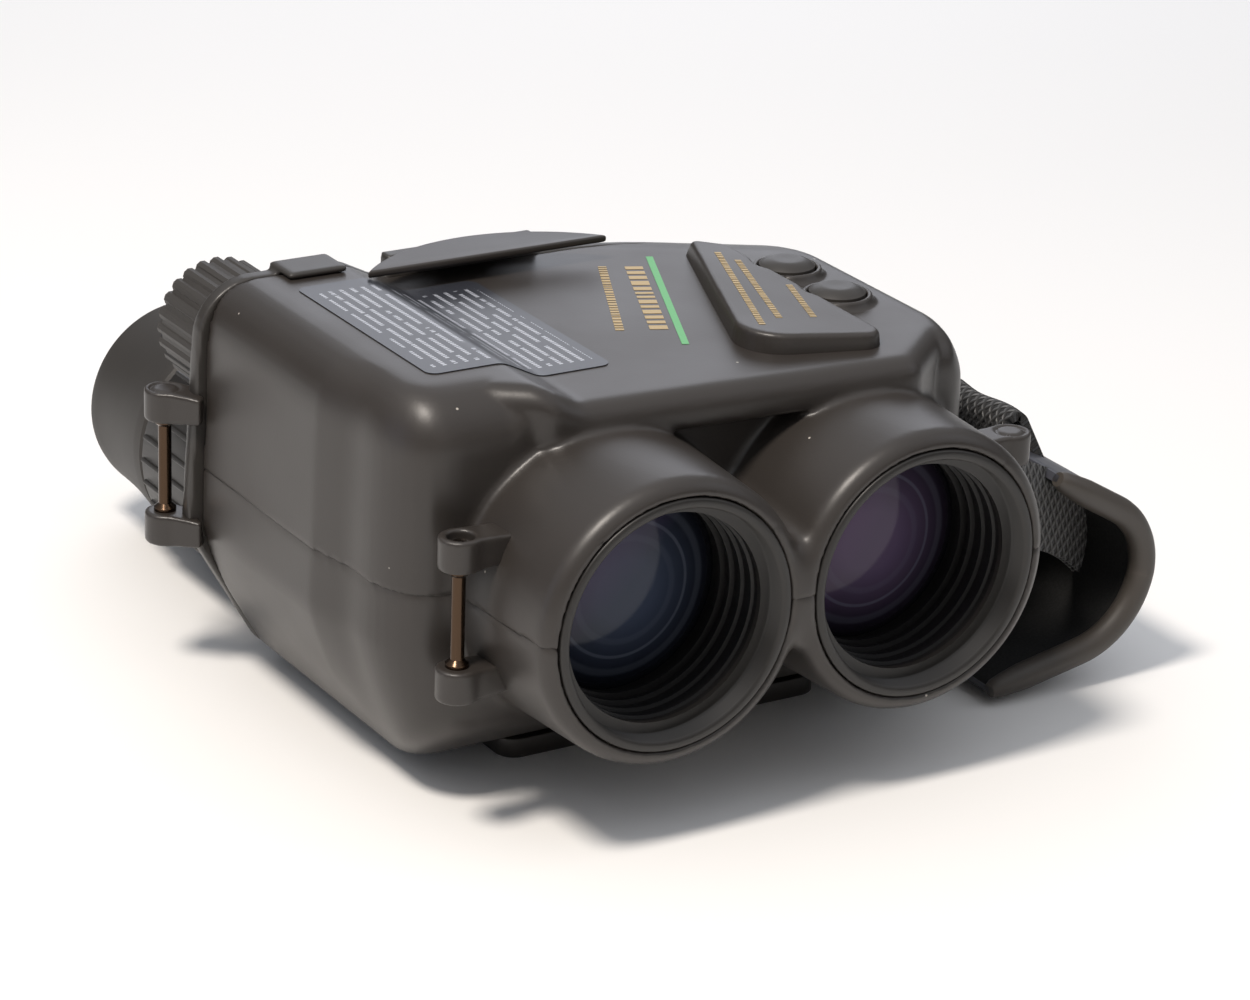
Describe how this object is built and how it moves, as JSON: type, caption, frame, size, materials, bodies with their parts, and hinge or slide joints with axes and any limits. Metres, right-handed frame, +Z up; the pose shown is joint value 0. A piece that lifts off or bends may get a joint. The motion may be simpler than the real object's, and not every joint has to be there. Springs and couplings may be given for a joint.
{
  "type": "image-stabilised binoculars",
  "caption": "Compact image-stabilised binoculars with a moulded two-shell body, recessed objectives, swinging eyepiece turrets, ribbed focusing knob, power buttons and a side hand strap.",
  "frame": {"origin": "mouth of the tripod socket in the base plate", "axes": "+Z up, +Y from the objectives to the eyepieces, +X towards the hand strap"},
  "size_m": [0.1805, 0.1892, 0.0834],
  "materials": {
    "shell_plastic": "satin moulded",
    "dark_plastic": "matt moulded",
    "ring_plastic": "satin, fine threads",
    "baffle_black": "flock black",
    "coated_glass": "coated",
    "prism_glass": "polished",
    "rubber_black": "matt",
    "pin_steel": "burnished",
    "bush_brass": "turned",
    "screw_steel": "zinc plated",
    "alloy": "machined",
    "label_film": "satin film",
    "pad_leather": "smooth synthetic",
    "web_fabric": "knit webbing",
    "board_green": "solder mask",
    "cell_jacket": "printed jacket, plain"
  },
  "bodies": {
    "root": {"top_housing": "shell_plastic", "bottom_housing": "shell_plastic", "rear_cover": "shell_plastic", "base_plate": "dark_plastic", "tripod_bush": "bush_brass", "rear_visor": "shell_plastic", "button_panel": "shell_plastic", "label_sheet": "label_film", "objective_ring_left": "ring_plastic", "objective_ring_right": "ring_plastic", "objective_cell_left": "baffle_black", "objective_cell_right": "baffle_black", "objective_lens_left": "coated_glass", "objective_lens_right": "coated_glass", "strap_lug_front_left": "shell_plastic", "strap_lug_rear_left": "shell_plastic", "strap_lug_front_right": "shell_plastic", "strap_lug_rear_right": "shell_plastic", "strap_pin_front_left": "pin_steel", "strap_pin_rear_left": "pin_steel", "strap_pin_front_right": "pin_steel", "strap_pin_rear_right": "pin_steel", "hand_strap_pad": "pad_leather", "hand_strap_front_webbing": "web_fabric", "hand_strap_rear_webbing": "web_fabric", "housing_screws": "screw_steel", "switch_board": "board_green", "circuit_board": "board_green", "battery_cassette": "dark_plastic", "battery_cells": "cell_jacket", "battery_door_pin": "screw_steel", "yaw_motor": "screw_steel"},
    "battery_door": {"battery_door": "shell_plastic"},
    "power_on_button": {"power_on_button": "dark_plastic"},
    "power_off_button": {"power_off_button": "dark_plastic"},
    "focus_knob": {"focus_knob": "dark_plastic", "focus_shaft": "screw_steel"},
    "focus_carriage": {"focus_carriage": "dark_plastic", "focusing_lens_left": "coated_glass", "focusing_lens_right": "coated_glass"},
    "outer_gimbal": {"outer_gimbal_frame": "alloy", "pitch_motor": "screw_steel"},
    "inner_gimbal": {"inner_gimbal_frame": "alloy", "prism_left": "prism_glass", "prism_right": "prism_glass", "gyro_sensor": "dark_plastic"},
    "turret_left": {"turret_left": "dark_plastic", "turret_gear_left": "bush_brass", "rhomboid_left": "prism_glass", "eyepiece_left": "ring_plastic", "eye_lens_left": "coated_glass", "eyecup_left": "rubber_black"},
    "turret_right": {"turret_right": "dark_plastic", "turret_gear_right": "bush_brass", "rhomboid_right": "prism_glass", "eyepiece_right": "ring_plastic", "eye_lens_right": "coated_glass", "eyecup_right": "rubber_black", "eyepiece_grip_ring": "rubber_black"},
    "dioptre_ring": {"dioptre_ring": "rubber_black"}
  },
  "joints": [
    {"name": "battery_door_swing", "type": "hinge", "parent": "root", "child": "battery_door", "pos_m": [0.0496, -0.0103, 0.0032], "axis": [-1, 0, 0], "range_deg": [0, 95]},
    {"name": "power_on_press", "type": "slide", "parent": "root", "child": "power_on_button", "axis": [0, 0, -1], "range_m": [0, 0.001], "stiffness_N_per_m": 500},
    {"name": "power_off_press", "type": "slide", "parent": "root", "child": "power_off_button", "axis": [0, 0, -1], "range_m": [0, 0.001], "stiffness_N_per_m": 500},
    {"name": "focus_turn", "type": "hinge", "parent": "root", "child": "focus_knob", "pos_m": [-0.056, 0.0522, 0.066], "axis": [0, 1, 0], "range_deg": [-180, 180]},
    {"name": "focus_travel", "type": "slide", "parent": "root", "child": "focus_carriage", "axis": [0, 1, 0], "range_m": [-0.00248, 0.00248]},
    {"name": "gimbal_yaw", "type": "hinge", "parent": "root", "child": "outer_gimbal", "pos_m": [0, 0.0187, 0.044], "axis": [0, 0, 1], "range_deg": [-5, 5]},
    {"name": "gimbal_pitch", "type": "hinge", "parent": "outer_gimbal", "child": "inner_gimbal", "pos_m": [0, 0.0187, 0.044], "axis": [1, 0, 0], "range_deg": [-5, 5]},
    {"name": "turret_left_swing", "type": "hinge", "parent": "root", "child": "turret_left", "pos_m": [-0.02725, 0.0514, 0.044], "axis": [0, 1, 0], "range_deg": [-17.5, 1.7]},
    {"name": "turret_right_swing", "type": "hinge", "parent": "root", "child": "turret_right", "pos_m": [0.02725, 0.0514, 0.044], "axis": [0, 1, 0], "range_deg": [-1.7, 17.5]},
    {"name": "dioptre_turn", "type": "hinge", "parent": "turret_left", "child": "dioptre_ring", "pos_m": [-0.03545, 0.0648, 0.02697], "axis": [0, 1, 0], "range_deg": [-60, 60]}
  ],
  "couplings": [
    {"joint": "focus_turn", "follows": "focus_travel", "rad_per_m": 1265.8},
    {"joint": "turret_right_swing", "follows": "turret_left_swing", "ratio": -1}
  ]
}
